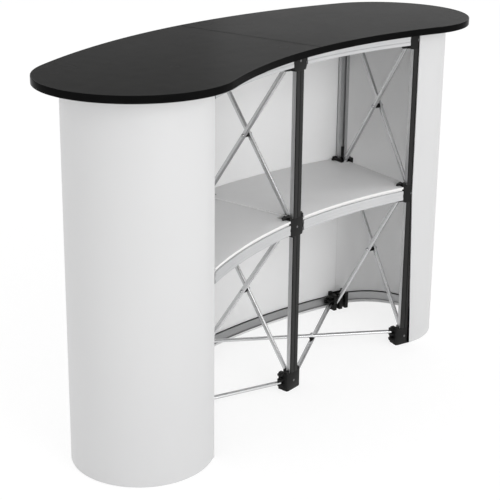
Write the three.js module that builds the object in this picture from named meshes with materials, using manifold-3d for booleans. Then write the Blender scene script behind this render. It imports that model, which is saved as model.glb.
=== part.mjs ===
// Curved pop-up exhibition counter: a lattice of hubs and crossed bars, hung with
// posts and rails, wrapped in bendy panels and topped by two laminate boards.
// Millimetres, +Z up. The staff stand on the hollow side, -Y, and customers on +Y.
// The origin is on the floor, under the middle of the counter.

import * as THREE from 'three';
import { mergeVertices } from 'three/addons/utils/BufferGeometryUtils.js';
import Module from 'manifold-3d';

const wasm = await Module();
wasm.setup();

const degree = Math.PI / 180;

// Plan of the counter: a band bent round one far centre, with half-round ends
const counterHeight = 950;
const arcRadius = 1522;
const wrapHalfWidth = 175;
const worktopOverhang = 59.5;
const worktopHalfAngle = 20.1 * degree;
const wrapHalfAngle = 19.9 * degree;
const columnHalfAngle = 19.4 * degree;

// Clearances
const seatGap = 0.3;
const panelGap = 0.6;
const seamGap = 0.6;
const pinClearance = 0.4;
const slotClearance = 0.5;
const notchClearance = 1.5;
const chordTolerance = 0.25;
const overrun = 2;
const weld = 0.5;

// Worktop boards
const boardThickness = 18;
const boardEdgeRound = 2;
const pegRadius = 5;
const pegHeight = 6;
const pegSpread = 16;

// Wrap panels
const panelThickness = 2.4;
const panelFloorGap = 1;
const leftPanelReach = 17;
const rightPanelReach = 1;
const rightPanelFlare = 16;

// Posts: a channel with two magnet strips on its face
const postWidth = 32;
const postDepth = 14;
const stripWidth = 14;
const stripGap = 2;
const stripThickness = 3;
const channelWidth = 20;
const channelDepth = 6;
const channelMouth = 12;
const channelLip = 1.8;

// Hubs
const hubWidth = 58;
const hubDepth = 16.5;
const hubHeight = 50;
const hubChamfer = 6;
const hubChamferDepth = 2.5;
const faceChamfer = 8;
const earWidth = 11;
const earHeight = 6;
const earDepth = 12;
const postPastLevel = 5;
const cheekSetback = 1.5;
const cheekLength = 15.5;
const pinInset = 24.5;
const pinRadius = 2.5;
const wingThickness = 4.9;
const wingReach = 14;
const wingRoot = 12;
const wingTipWidth = 13;
const wingPinOut = 6;
const wingPinInset = 23;
const wingCap = 5;
const wingPointInset = 18;
const wingPointWidth = 4;

// Bars and their crossing rivets
const barWidth = 14;
const barThickness = 9.5;
const barBevel = 2.4;
const barPitch = 22;
const levelBarPitch = 15;
const levelBarRise = 6;
const spacerRadius = 7;
const rivetHeadRadius = 5;
const rivetHeadHeight = 5;

// Rails
const railHeight = 27;
const railDepth = 6;
const railWeb = 1.8;
const railLip = 2;
const railEndGap = 0.5;
const tabLength = 15;
const tabRoot = 9;
const tabHeight = 12;

// Shelf
const shelfThickness = 12;
const shelfSkin = 6;
const shelfRebate = 5;
const shelfRise = 10;

// Facet counts of the small round pieces
const pinSides = 8;
const roundSides = 8;
const barEndSegments = 3;

// Derived sizes and levels
const faceOffset = wrapHalfWidth - panelThickness - panelGap;
const worktopHalfWidth = wrapHalfWidth + worktopOverhang;
const worktopFront = arcRadius + worktopHalfWidth;
const worktopBack = arcRadius * Math.cos(worktopHalfAngle) - worktopHalfWidth;
const centreY = -(worktopFront + worktopBack) / 2;
const boardUnderside = counterHeight - boardThickness;
const bottomLevel = hubHeight / 2;
const topLevel = boardUnderside - seatGap - hubHeight / 2;
const middleLevel = (bottomLevel + topLevel) / 2;
const shelfUnderside = middleLevel + shelfRise + seatGap;
const shelfTop = shelfUnderside + shelfThickness;
const wingTip = hubWidth / 2 + wingReach;
const wingPinOffset = hubWidth / 2 + wingPinOut;
const holeRadius = pinRadius + pinClearance;
const socketDepth = hubHeight / 2 + postPastLevel;
const levels = { bottom: bottomLevel, middle: middleLevel, top: topLevel };
const levelBarRises = { bottom: levelBarRise, top: -levelBarRise };
const columnAngles = { left: -columnHalfAngle, centre: 0, right: columnHalfAngle };
const rowSides = { back: -1, front: 1 };
const arcCentre = { x: 0, y: centreY };

// Materials
function finish(color, roughness, metalness) {
  return () => new THREE.MeshStandardMaterial({ color, roughness, metalness });
}
const blackLaminate = finish(0x3b3b3a, 0.45, 0);
const paleLaminate = finish(0xb4b4b4, 0.6, 0);
const whitePlastic = finish(0xdadada, 0.6, 0);
const blackPlastic = finish(0x1c1c1b, 0.5, 0);
const aluminium = finish(0xa4a6a8, 0.35, 0.9);

// Solids are joined and cut as closed meshes
function toSolid(geometry) {
  geometry.deleteAttribute('normal');
  geometry.deleteAttribute('uv');
  const merged = mergeVertices(geometry);
  return new wasm.Manifold(new wasm.Mesh({
    numProp: 3,
    vertProperties: new Float32Array(merged.attributes.position.array),
    triVerts: new Uint32Array(merged.index.array),
  }));
}

function toGeometry(solid) {
  const mesh = solid.getMesh();
  const geometry = new THREE.BufferGeometry();
  geometry.setAttribute('position', new THREE.BufferAttribute(mesh.vertProperties, mesh.numProp));
  geometry.setIndex(new THREE.BufferAttribute(mesh.triVerts, 1));
  const facets = geometry.toNonIndexed();
  facets.computeVertexNormals();
  return facets;
}

function joined(solids) {
  return solids.reduce((whole, part) => whole.add(part));
}

// Basic forms
function box(x0, x1, y0, y1, z0, z1) {
  const geometry = new THREE.BoxGeometry(x1 - x0, y1 - y0, z1 - z0);
  geometry.translate((x0 + x1) / 2, (y0 + y1) / 2, (z0 + z1) / 2);
  return toSolid(geometry);
}

function prismGeometry(shape, z0, z1, bevel = 0) {
  const geometry = new THREE.ExtrudeGeometry(shape, {
    depth: z1 - z0 - 2 * bevel,
    bevelEnabled: bevel > 0,
    bevelThickness: bevel,
    bevelSize: bevel,
    bevelOffset: -bevel,
    bevelSegments: 1,
    curveSegments: barEndSegments,
  });
  geometry.translate(0, 0, z0 + bevel);
  return geometry;
}

function prism(points, z0, z1, bevel = 0) {
  return toSolid(prismGeometry(new THREE.Shape(points), z0, z1, bevel));
}

function uprightCylinder(x, y, radius, z0, z1, sides) {
  const geometry = new THREE.CylinderGeometry(radius, radius, z1 - z0, sides);
  geometry.rotateX(Math.PI / 2);
  geometry.translate(x, y, (z0 + z1) / 2);
  return toSolid(geometry);
}

function crossCylinder(y, z, radius, x0, x1, sides) {
  const geometry = new THREE.CylinderGeometry(radius, radius, x1 - x0, sides);
  geometry.rotateZ(Math.PI / 2);
  geometry.translate((x0 + x1) / 2, y, z);
  return toSolid(geometry);
}

// Points of an arc. Angles are measured from +Y towards +X, as a bearing is.
function arcPoints(centre, radius, from, to) {
  const step = 2 * Math.acos(1 - chordTolerance / radius);
  const count = Math.max(1, Math.ceil(Math.abs(to - from) / step));
  return Array.from({ length: count + 1 }, (_, i) => {
    const bearing = from + (to - from) * (i / count);
    return new THREE.Vector2(centre.x + radius * Math.sin(bearing), centre.y + radius * Math.cos(bearing));
  });
}

function ringSector(centre, inner, outer, from, to, z0, z1) {
  const points = [...arcPoints(centre, outer, from, to), ...arcPoints(centre, inner, to, from)];
  return prism(points, z0, z1);
}

// Centre of a half-round end, on the band's centreline
function endCentre(side, halfAngle) {
  return {
    x: side * arcRadius * Math.sin(halfAngle),
    y: centreY + arcRadius * Math.cos(halfAngle),
  };
}

// Frame of a column: origin on its outer face, local +Y pointing out of the counter
function columnFrame(row, column) {
  const side = rowSides[row];
  const bearing = columnAngles[column];
  const radius = arcRadius + side * faceOffset;
  const frame = new THREE.Matrix4().makeRotationZ(side > 0 ? -bearing : Math.PI - bearing);
  return frame.setPosition(radius * Math.sin(bearing), centreY + radius * Math.cos(bearing), 0);
}

// A point given by its distance behind a column's face and along the tangent
function columnPoint(row, column, inset, along, z) {
  const bearing = columnAngles[column];
  const radius = arcRadius + rowSides[row] * (faceOffset - inset);
  return new THREE.Vector3(
    radius * Math.sin(bearing) + along * Math.cos(bearing),
    centreY + radius * Math.cos(bearing) - along * Math.sin(bearing),
    z,
  );
}

const counter = new THREE.Group();
counter.name = 'exhibition_counter';

function addMesh(name, solid, material, matrix = new THREE.Matrix4()) {
  const mesh = new THREE.Mesh(toGeometry(solid), material());
  mesh.name = name;
  mesh.applyMatrix4(matrix);
  counter.add(mesh);
}

// Where a rail or its tab lies: a ring round a centre, depth measured from the face
function railRing(run, shallow, deep) {
  const near = run.faceRadius + run.inward * shallow;
  const far = run.faceRadius + run.inward * deep;
  return [Math.min(near, far), Math.max(near, far)];
}

// Runs between two columns of one row, and round an end
function rowRun(row, from, to) {
  const faceRadius = arcRadius + rowSides[row] * faceOffset;
  const turn = (distance) => Math.asin(distance / (faceRadius - railDepth));
  return {
    centre: arcCentre,
    faceRadius,
    inward: -rowSides[row],
    bearingAt: (start, distance) => (start
      ? columnAngles[from] + turn(distance)
      : columnAngles[to] - turn(distance)),
    first: `${row}_${from}`,
    last: `${row}_${to}`,
  };
}

function endRun(column) {
  const side = Math.sign(columnAngles[column]);
  const lead = (row) => (arcRadius + rowSides[row] * faceOffset) * Math.sin(wrapHalfAngle - columnHalfAngle);
  const turn = (row, distance) => Math.asin((distance - lead(row)) / (faceOffset - railDepth));
  return {
    centre: endCentre(side, wrapHalfAngle),
    faceRadius: faceOffset,
    inward: -1,
    bearingAt: (start, distance) => side * (wrapHalfAngle + (start
      ? turn('front', distance)
      : Math.PI - turn('back', distance))),
    first: `front_${column}`,
    last: `back_${column}`,
  };
}

const runs = {
  back_left: rowRun('back', 'left', 'centre'),
  back_right: rowRun('back', 'centre', 'right'),
  front_left: rowRun('front', 'left', 'centre'),
  front_right: rowRun('front', 'centre', 'right'),
  end_left: endRun('left'),
  end_right: endRun('right'),
};

const railPlaces = [
  ['back_left', 'top'], ['back_right', 'top'],
  ['back_left', 'middle'], ['back_right', 'middle'],
  ['front_left', 'bottom'], ['front_right', 'bottom'],
  ['end_left', 'bottom'], ['end_right', 'bottom'],
];

function railCentre(level) {
  return level === 'middle' ? shelfUnderside - seatGap - railHeight / 2 : levels[level];
}

// A rail is a curved channel, open to the inside, with a lip at top and bottom
function addRail(runName, level) {
  const run = runs[runName];
  const z = railCentre(level);
  const [inner, outer] = railRing(run, 0, railDepth);
  const [grooveInner, grooveOuter] = railRing(run, railWeb, railDepth + overrun);
  const start = run.bearingAt(true, hubWidth / 2 + railEndGap);
  const end = run.bearingAt(false, hubWidth / 2 + railEndGap);
  const past = Math.sign(end - start) * (overrun / run.faceRadius);
  const body = ringSector(run.centre, inner, outer, start, end, z - railHeight / 2, z + railHeight / 2);
  const groove = ringSector(
    run.centre, grooveInner, grooveOuter, start - past, end + past,
    z - railHeight / 2 + railLip, z + railHeight / 2 - railLip,
  );
  addMesh(`rail_${runName}_${level}`, body.subtract(groove), aluminium);
}

// Tabs that a hub pushes into the rails that meet it
function hubTabs(row, column, level) {
  const hubName = `${row}_${column}`;
  const toLocal = columnFrame(row, column).invert();
  return railPlaces
    .filter(([runName, railLevel]) => railLevel === level
      && [runs[runName].first, runs[runName].last].includes(hubName))
    .map(([runName]) => {
      const run = runs[runName];
      const start = run.first === hubName;
      const z = railCentre(level);
      const [inner, outer] = railRing(run, railWeb + seatGap, railDepth);
      const root = run.bearingAt(start, hubWidth / 2 - tabRoot);
      const tip = run.bearingAt(start, hubWidth / 2 + tabLength);
      const points = [
        ...arcPoints(run.centre, outer, root, tip),
        ...arcPoints(run.centre, inner, tip, root),
      ];
      const geometry = prismGeometry(new THREE.Shape(points), z - tabHeight / 2, z + tabHeight / 2);
      geometry.applyMatrix4(toLocal);
      return toSolid(geometry);
    });
}

// Hub block: chamfered in plan. Above the floor its lower corners are cut away, and
// below the worktop two ears rise from its upper corners, beside the post.
function hubBlock(level, z) {
  const half = hubWidth / 2;
  const low = z - hubHeight / 2;
  const high = z + hubHeight / 2;
  const plan = [
    [-half, -hubDepth], [half, -hubDepth], [half, -hubChamferDepth],
    [half - hubChamfer, 0], [-half + hubChamfer, 0], [-half, -hubChamferDepth],
  ].map(([x, y]) => new THREE.Vector2(x, y));
  let block = prism(plan, low, high);
  if (level !== 'bottom') {
    block = [-1, 1].reduce((rest, side) => {
      const corner = [
        [half - faceChamfer - overrun, low - overrun], [half + overrun, low - overrun],
        [half + overrun, low + faceChamfer + overrun],
      ].map(([x, y]) => new THREE.Vector2(side * x, y));
      const wedge = prismGeometry(new THREE.Shape(corner), -overrun, hubDepth + overrun);
      wedge.rotateX(Math.PI / 2);
      return rest.subtract(toSolid(wedge));
    }, block);
  }
  if (level !== 'top') {
    const ear = (x0, x1) => box(x0, x1, -earDepth, -hubChamferDepth, high - weld, high + earHeight);
    block = joined([block, ear(-half, -half + earWidth), ear(half - earWidth, half)]);
  }
  return block;
}

// The front row's posts stand on the middle hubs, whose sockets are closed below
function hubSocket(row, level, z) {
  const halfWidth = postWidth / 2 + seatGap;
  const low = z - hubHeight / 2;
  const high = z + hubHeight / 2;
  const closed = level === 'bottom' || (level === 'middle' && row === 'front');
  const z0 = closed ? high - socketDepth : low - overrun;
  const z1 = level === 'top' ? low + socketDepth : high + overrun;
  return box(-halfWidth, halfWidth, -postDepth - seatGap, -stripThickness + seatGap, z0, z1);
}

// Three cheeks carry the pin of the upright bars, which lie in the slots between them
function hubCheeks(z) {
  const slotInner = barPitch / 2 - barThickness / 2 - slotClearance;
  const slotOuter = barPitch / 2 + barThickness / 2 + slotClearance;
  const outside = hubWidth / 2 - cheekSetback;
  const cheek = (x0, x1) => box(
    x0, x1, -hubDepth - cheekLength, -hubDepth + weld, z - hubHeight / 2, z + hubHeight / 2,
  );
  return [
    cheek(-slotInner, slotInner),
    cheek(slotOuter, outside),
    cheek(-outside, -slotOuter),
    crossCylinder(-pinInset, z, pinRadius, -slotOuter - weld, slotOuter + weld, pinSides),
  ];
}

// Wing plates stand out of a hub's sides. At top and bottom they hold the pin of the
// level bars; in the middle they lie over and under the shelf.
function wingLevels(level) {
  if (level === 'middle') {
    const over = shelfThickness + seatGap + notchClearance;
    return [
      [-hubHeight / 2, -hubHeight / 2 + wingThickness],
      [shelfRise - wingThickness, shelfRise],
      [shelfRise + over, shelfRise + over + wingThickness],
    ];
  }
  const near = levelBarPitch / 2 - barThickness / 2 - seatGap;
  const far = levelBarPitch / 2 + barThickness / 2 + seatGap;
  return [[-far - wingCap, -far], [-near, near], [far, far + wingCap]]
    .map((plate) => plate.map((height) => height + levelBarRises[level]));
}

function hubWings(level, z, side) {
  const pointed = level === 'middle';
  const tipInset = pointed ? wingPointInset : wingPinInset;
  const tipHalf = (pointed ? wingPointWidth : wingTipWidth) / 2;
  const outline = [
    [hubWidth / 2 - wingRoot, -wingRoot], [hubWidth / 2, -wingRoot],
    [wingTip, -tipInset + tipHalf], [wingTip - tipHalf, -tipInset - tipHalf],
    [hubWidth / 2 - wingRoot, -hubDepth - cheekLength + weld],
  ].map(([x, y]) => new THREE.Vector2(side * x, y));
  const plates = wingLevels(level).map(([low, high]) => prism(outline, z + low, z + high));
  if (pointed) {
    return plates;
  }
  const pinZ = z + levelBarRises[level];
  const reach = levelBarPitch / 2 + barThickness / 2 + seatGap + weld;
  return [
    ...plates,
    uprightCylinder(side * wingPinOffset, -wingPinInset, pinRadius, pinZ - reach, pinZ + reach, pinSides),
  ];
}

// Sides of a hub that face a cell, as signs of the hub's own X
function cellSides(row, column) {
  if (column === 'centre') {
    return [-1, 1];
  }
  return [-Math.sign(columnAngles[column]) * rowSides[row]];
}

function pegPlaces(column) {
  return column === 'centre' ? [-pegSpread, pegSpread] : [0];
}

function addHub(row, column, level) {
  const z = levels[level];
  const parts = [hubBlock(level, z).subtract(hubSocket(row, level, z)), ...hubCheeks(z)];
  cellSides(row, column).forEach((side) => parts.push(...hubWings(level, z, side)));
  parts.push(...hubTabs(row, column, level));
  if (level === 'top') {
    const top = z + hubHeight / 2;
    pegPlaces(column).forEach((x) => parts.push(
      uprightCylinder(x, -hubDepth + pegRadius + weld, pegRadius, top - weld, top + pegHeight, roundSides),
    ));
  }
  addMesh(`hub_${row}_${column}_${level}`, joined(parts), blackPlastic, columnFrame(row, column));
}

// Post: a lipped channel whose magnet strips stop where a hub's front wall begins.
// A back post runs from floor to worktop, a front one from the shelf up.
function addPost(row, column) {
  const half = postWidth / 2;
  const face = -stripThickness;
  const floorY = -postDepth + channelDepth;
  const profile = [
    [-half, face], [-half, -postDepth], [-channelMouth / 2, -postDepth],
    [-channelMouth / 2, -postDepth + channelLip], [-channelWidth / 2, -postDepth + channelLip],
    [-channelWidth / 2, floorY], [channelWidth / 2, floorY],
    [channelWidth / 2, -postDepth + channelLip], [channelMouth / 2, -postDepth + channelLip],
    [channelMouth / 2, -postDepth], [half, -postDepth], [half, face],
  ].map(([x, y]) => new THREE.Vector2(x, y));
  const foot = row === 'front' ? middleLevel : bottomLevel;
  const low = foot + hubHeight / 2 - socketDepth + seatGap;
  const high = topLevel - hubHeight / 2 + socketDepth - seatGap;
  const parts = [prism(profile, low, high)];
  const upperSpan = [middleLevel + hubHeight / 2 + seatGap, topLevel - hubHeight / 2 - seatGap];
  const lowerSpan = [hubHeight + seatGap, middleLevel - hubHeight / 2 - seatGap];
  const spans = row === 'front' ? [upperSpan] : [lowerSpan, upperSpan];
  spans.forEach(([z0, z1]) => [-1, 1].forEach((side) => {
    const near = side * (stripGap / 2);
    const far = side * (stripGap / 2 + stripWidth);
    parts.push(box(Math.min(near, far), Math.max(near, far), face - weld, 0, z0, z1));
  }));
  addMesh(`post_${row}_${column}`, joined(parts), aluminium, columnFrame(row, column));
}

// Bar: a flat strut with round ends and a pin hole at each end
function barSolid(length, holes) {
  const radius = barWidth / 2;
  const shape = new THREE.Shape();
  shape.absarc(0, 0, radius, Math.PI / 2, Math.PI * 1.5, false);
  shape.absarc(length, 0, radius, -Math.PI / 2, Math.PI / 2, false);
  const body = toSolid(prismGeometry(shape, -barThickness / 2, barThickness / 2, barBevel));
  return holes.reduce((bar, x) => bar.subtract(uprightCylinder(
    x, 0, holeRadius, -barThickness / 2 - overrun, barThickness / 2 + overrun, pinSides,
  )), body);
}

// Crossing rivet: head, spacer, shank and far head, carried by the first bar of a pair
function rivet(x, pitch) {
  const face = barThickness / 2;
  const gap = pitch - barThickness;
  return [
    uprightCylinder(x, 0, rivetHeadRadius, -face - rivetHeadHeight, -face + weld, roundSides),
    uprightCylinder(x, 0, spacerRadius, face - weld, face + gap - seatGap, roundSides),
    uprightCylinder(x, 0, pinRadius, face, face + gap + barThickness + seatGap + weld, pinSides),
    uprightCylinder(
      x, 0, rivetHeadRadius,
      face + gap + barThickness + seatGap, face + gap + barThickness + seatGap + rivetHeadHeight, roundSides,
    ),
  ];
}

function barFrame(start, end, normal) {
  const along = end.clone().sub(start).normalize();
  const across = normal.clone().cross(along);
  return new THREE.Matrix4().makeBasis(along, across, normal).setPosition(start);
}

// A pair of bars crossing at a share of each one's length, the second lying a pitch
// away on the normal's side of the first
function addBarPair(name, first, second, normal, pitch, firstShare, secondShare) {
  const firstLength = first[0].distanceTo(first[1]);
  const secondLength = second[0].distanceTo(second[1]);
  const carrier = joined([barSolid(firstLength, [0, firstLength]), ...rivet(firstLength * firstShare, pitch)]);
  const partner = barSolid(secondLength, [0, secondLength * secondShare, secondLength]);
  addMesh(`${name}_a`, carrier, aluminium, barFrame(first[0], first[1], normal));
  addMesh(`${name}_b`, partner, aluminium, barFrame(second[0], second[1], normal));
}

function addUprightPair(column, rowName, low, high) {
  const bearing = columnAngles[column];
  const tangent = new THREE.Vector3(Math.cos(bearing), -Math.sin(bearing), 0);
  const pin = (row, level, along) => columnPoint(row, column, pinInset, along, levels[level]);
  const halfPitch = barPitch / 2;
  const middleShare = 0.5;
  addBarPair(
    `upright_bar_${column}_${rowName}`,
    [pin('back', high, -halfPitch), pin('front', low, -halfPitch)],
    [pin('back', low, halfPitch), pin('front', high, halfPitch)],
    tangent, barPitch, middleShare, middleShare,
  );
}

// Share of a line's length at which another line crosses it, seen from above
function crossingShare(line, other) {
  const dx = line[1].x - line[0].x;
  const dy = line[1].y - line[0].y;
  const ex = other[1].x - other[0].x;
  const ey = other[1].y - other[0].y;
  return ((other[0].x - line[0].x) * ey - (other[0].y - line[0].y) * ex) / (dx * ey - dy * ex);
}

function addLevelPair(column, level) {
  const side = Math.sign(columnAngles[column]);
  const z = levels[level] + levelBarRises[level];
  const pin = (row, place, along, height) => columnPoint(row, place, wingPinInset, along, height);
  const out = side * wingPinOffset;
  const halfPitch = levelBarPitch / 2;
  const fromBack = [
    pin('back', 'centre', out, z - halfPitch), pin('front', column, -out, z - halfPitch),
  ];
  const fromFront = [
    pin('front', 'centre', out, z + halfPitch), pin('back', column, -out, z + halfPitch),
  ];
  addBarPair(
    `level_bar_${column}_${level}`, fromBack, fromFront, new THREE.Vector3(0, 0, 1),
    levelBarPitch, crossingShare(fromBack, fromFront), crossingShare(fromFront, fromBack),
  );
}

// Half of the worktop: the band's outline from the seam round one end
function addWorktop(column) {
  const side = Math.sign(columnAngles[column]);
  const outer = arcRadius + worktopHalfWidth;
  const inner = arcRadius - worktopHalfWidth;
  const cut = seamGap / 2;
  const tip = side * worktopHalfAngle;
  const points = [
    ...arcPoints(arcCentre, outer, side * Math.asin(cut / outer), tip),
    ...arcPoints(endCentre(side, worktopHalfAngle), worktopHalfWidth, tip, tip + side * Math.PI).slice(1, -1),
    ...arcPoints(arcCentre, inner, tip, side * Math.asin(cut / inner)),
  ];
  const board = prism(points, boardUnderside, counterHeight, boardEdgeRound);
  const sockets = ['back', 'front'].flatMap((row) => [
    ...(pegPlaces('centre').filter((x) => x * side * rowSides[row] > 0)
      .map((x) => [row, 'centre', x * rowSides[row]])),
    [row, column, 0],
  ]);
  const solid = sockets.reduce((rest, [row, place, along]) => {
    const at = columnPoint(row, place, hubDepth - pegRadius - weld, along, boardUnderside);
    return rest.subtract(uprightCylinder(
      at.x, at.y, pegRadius + pinClearance, at.z - overrun, at.z + pegHeight + seatGap, roundSides,
    ));
  }, board);
  addMesh(`worktop_${column}`, solid, blackLaminate);
}

// Shelf half: a stepped board between two columns, notched round their hubs and bars
function addShelf(column) {
  const side = Math.sign(columnAngles[column]);
  const inner = arcRadius - faceOffset;
  const outer = arcRadius + faceOffset;
  const start = side * Math.asin(seamGap / 2 / inner);
  const end = columnAngles[column];
  const skin = ringSector(arcCentre, inner, outer, start, end, shelfTop - shelfSkin, shelfTop);
  const core = ringSector(
    arcCentre, inner + shelfRebate, outer - shelfRebate, start, end, shelfUnderside, shelfTop - shelfSkin + weld,
  );
  const run = 2 * (faceOffset - pinInset);
  const rise = topLevel - middleLevel;
  const slant = Math.hypot(run, rise);
  const notchInset = pinInset + (shelfTop - middleLevel) * (run / rise) + (barWidth / 2) * (slant / rise)
    + notchClearance;
  const notchHalfWidth = hubWidth / 2 + notchClearance;
  const board = ['back', 'front'].flatMap((row) => [[row, 'centre'], [row, column]]).reduce((rest, place) => {
    const geometry = new THREE.BoxGeometry(
      2 * notchHalfWidth, notchInset + overrun, shelfThickness + 2 * overrun,
    );
    geometry.translate(0, (overrun - notchInset) / 2, shelfUnderside + shelfThickness / 2);
    geometry.applyMatrix4(columnFrame(place[0], place[1]));
    return rest.subtract(toSolid(geometry));
  }, skin.add(core));
  addMesh(`shelf_${column}`, board, paleLaminate);
}

const panelLow = panelFloorGap;
const panelHigh = boardUnderside - panelGap;

function addFrontPanel(column) {
  const outer = arcRadius + wrapHalfWidth;
  const side = Math.sign(columnAngles[column]);
  const slack = Math.asin(seamGap / 2 / outer);
  const solid = ringSector(
    arcCentre, outer - panelThickness, outer,
    side * slack, columnAngles[column] - side * slack, panelLow, panelHigh,
  );
  addMesh(`panel_front_${column}`, solid, whitePlastic);
}

// Wedge that sets the lower part of a panel's edge further back towards the floor,
// in the frame of the back column that the panel ends on
function flareWedge(column, reach, flare) {
  const side = Math.sign(columnAngles[column]);
  const corner = [
    [reach + overrun, panelLow - overrun], [reach - flare, panelLow - overrun],
    [reach, middleLevel], [reach + overrun, middleLevel],
  ].map(([x, y]) => new THREE.Vector2(side * x, y));
  const wedge = prismGeometry(new THREE.Shape(corner), -panelThickness - 2 * overrun, overrun);
  wedge.rotateX(Math.PI / 2);
  wedge.applyMatrix4(columnFrame('back', column));
  return toSolid(wedge);
}

// End panel: starts on the front post, turns the half-round end and comes back past
// the back post by its reach
function addEndPanel(column, reach, flare) {
  const side = Math.sign(columnAngles[column]);
  const front = arcRadius + wrapHalfWidth;
  const back = arcRadius - wrapHalfWidth;
  const start = columnAngles[column] + side * Math.asin(seamGap / 2 / front);
  const tip = side * wrapHalfAngle;
  const finishBearing = columnAngles[column] - side * Math.asin(reach / back);
  const centre = endCentre(side, wrapHalfAngle);
  const skin = (inset) => [
    ...arcPoints(arcCentre, front - inset, start, tip),
    ...arcPoints(centre, wrapHalfWidth - inset, tip, tip + side * Math.PI).slice(1, -1),
    ...arcPoints(arcCentre, back + inset, tip, finishBearing),
  ];
  const points = [...skin(0), ...skin(panelThickness).reverse()];
  const sheet = prism(points, panelLow, panelHigh);
  const solid = flare > 0 ? sheet.subtract(flareWedge(column, reach, flare)) : sheet;
  addMesh(`panel_end_${column}`, solid, whitePlastic);
}

Object.keys(rowSides).forEach((row) => Object.keys(columnAngles).forEach((column) => {
  Object.keys(levels).forEach((level) => addHub(row, column, level));
  addPost(row, column);
}));
Object.keys(columnAngles).forEach((column) => {
  addUprightPair(column, 'lower', 'bottom', 'middle');
  addUprightPair(column, 'upper', 'middle', 'top');
});
['left', 'right'].forEach((column) => {
  addLevelPair(column, 'bottom');
  addLevelPair(column, 'top');
});
railPlaces.forEach(([runName, level]) => addRail(runName, level));
['left', 'right'].forEach((column) => {
  addWorktop(column);
  addShelf(column);
  addFrontPanel(column);
});
addEndPanel('left', leftPanelReach, 0);
addEndPanel('right', -rightPanelReach, rightPanelFlare);

export default counter;
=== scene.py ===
import math

import bmesh
import bpy
import numpy as np
from mathutils import Matrix, Vector


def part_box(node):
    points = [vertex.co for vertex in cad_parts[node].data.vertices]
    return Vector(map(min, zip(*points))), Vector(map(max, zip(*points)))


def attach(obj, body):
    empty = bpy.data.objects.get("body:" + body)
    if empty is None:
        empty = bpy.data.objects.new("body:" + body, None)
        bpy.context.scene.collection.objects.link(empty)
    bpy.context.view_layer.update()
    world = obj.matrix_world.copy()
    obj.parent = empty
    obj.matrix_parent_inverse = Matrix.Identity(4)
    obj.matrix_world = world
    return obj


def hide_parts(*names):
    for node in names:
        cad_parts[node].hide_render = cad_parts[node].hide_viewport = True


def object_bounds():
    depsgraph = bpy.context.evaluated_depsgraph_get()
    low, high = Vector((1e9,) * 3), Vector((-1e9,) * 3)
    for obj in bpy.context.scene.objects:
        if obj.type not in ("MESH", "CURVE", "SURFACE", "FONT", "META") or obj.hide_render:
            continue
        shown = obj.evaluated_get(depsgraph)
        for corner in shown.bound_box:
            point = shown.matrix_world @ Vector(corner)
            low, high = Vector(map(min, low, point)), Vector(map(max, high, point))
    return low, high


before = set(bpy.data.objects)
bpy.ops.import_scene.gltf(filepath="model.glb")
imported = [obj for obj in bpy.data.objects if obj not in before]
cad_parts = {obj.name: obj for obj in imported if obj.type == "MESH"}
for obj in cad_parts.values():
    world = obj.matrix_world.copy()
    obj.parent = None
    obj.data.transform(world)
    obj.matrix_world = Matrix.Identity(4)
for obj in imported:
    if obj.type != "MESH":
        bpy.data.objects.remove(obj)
cad_low, cad_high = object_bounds()

# Camera, floor and studio light
# A plain white sweep lit by two large soft boxes. The camera stands at the staff's left at
# eye height, looks down a little, and sees along the hollow side.
camera_place = Vector((-2.598, -1.9754, 1.5481))
camera_heading = math.radians(52.31)
camera_tilt = math.radians(17.59)
camera_roll = math.radians(0.63)
sensor_width = 36.0
photo_width_px = 500.0
focal_length_px = 1284.7
horizon_shift = -0.10
far_limit = 100.0
floor_white = (0.97, 0.97, 0.97, 1)
floor_roughness = 0.9
floor_glow = 1.08
floor_reach = 14.0

camera_data = bpy.data.cameras.new("camera")
camera_data.sensor_width = sensor_width
camera_data.lens = sensor_width * focal_length_px / photo_width_px
camera_data.shift_y = horizon_shift
camera_data.clip_end = far_limit
camera = bpy.data.objects.new("camera", camera_data)
camera.matrix_world = (
    Matrix.Translation(camera_place)
    @ Matrix.Rotation(-camera_heading, 4, "Z")
    @ Matrix.Rotation(math.pi / 2 - camera_tilt, 4, "X")
    @ Matrix.Rotation(camera_roll, 4, "Z")
)
bpy.context.scene.collection.objects.link(camera)
bpy.context.scene.camera = camera
bpy.context.scene.view_settings.view_transform = "Standard"


def lamp(name, place, target, size, power):
    """A square soft box that stands at one point and faces another."""
    data = bpy.data.lights.new(name, "AREA")
    data.shape = "SQUARE"
    data.size = size
    data.energy = power
    light = bpy.data.objects.new(name, data)
    facing = (Vector(target) - Vector(place)).to_track_quat("-Z", "Y")
    light.matrix_world = Matrix.Translation(place) @ facing.to_matrix().to_4x4()
    bpy.context.scene.collection.objects.link(light)


lamp("key_box", place=(-1.0, -3.6, 1.9), target=(0.1, 0.0, 0.5), size=2.2, power=38.0)
lamp("rim_box", place=(4.2, 2.3, 1.7), target=(0.5, 0.0, 0.95), size=2.0, power=6.5)


def worked_out(tree, operation, first, second=0.0):
    """One step of arithmetic. Each value may be a socket or a number."""
    step = tree.nodes.new("ShaderNodeMath")
    step.operation = operation
    for value, socket in ((first, step.inputs[0]), (second, step.inputs[1])):
        if isinstance(value, float):
            socket.default_value = value
        else:
            tree.links.new(value, socket)
    return step.outputs[0]


def ranged(tree, share, low, high):
    """Number that runs from low to high as a share runs from 0 to 1."""
    spread = tree.nodes.new("ShaderNodeMapRange")
    spread.inputs["To Min"].default_value = low
    spread.inputs["To Max"].default_value = high
    tree.links.new(share, spread.inputs["Value"])
    return spread.outputs["Result"]


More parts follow.
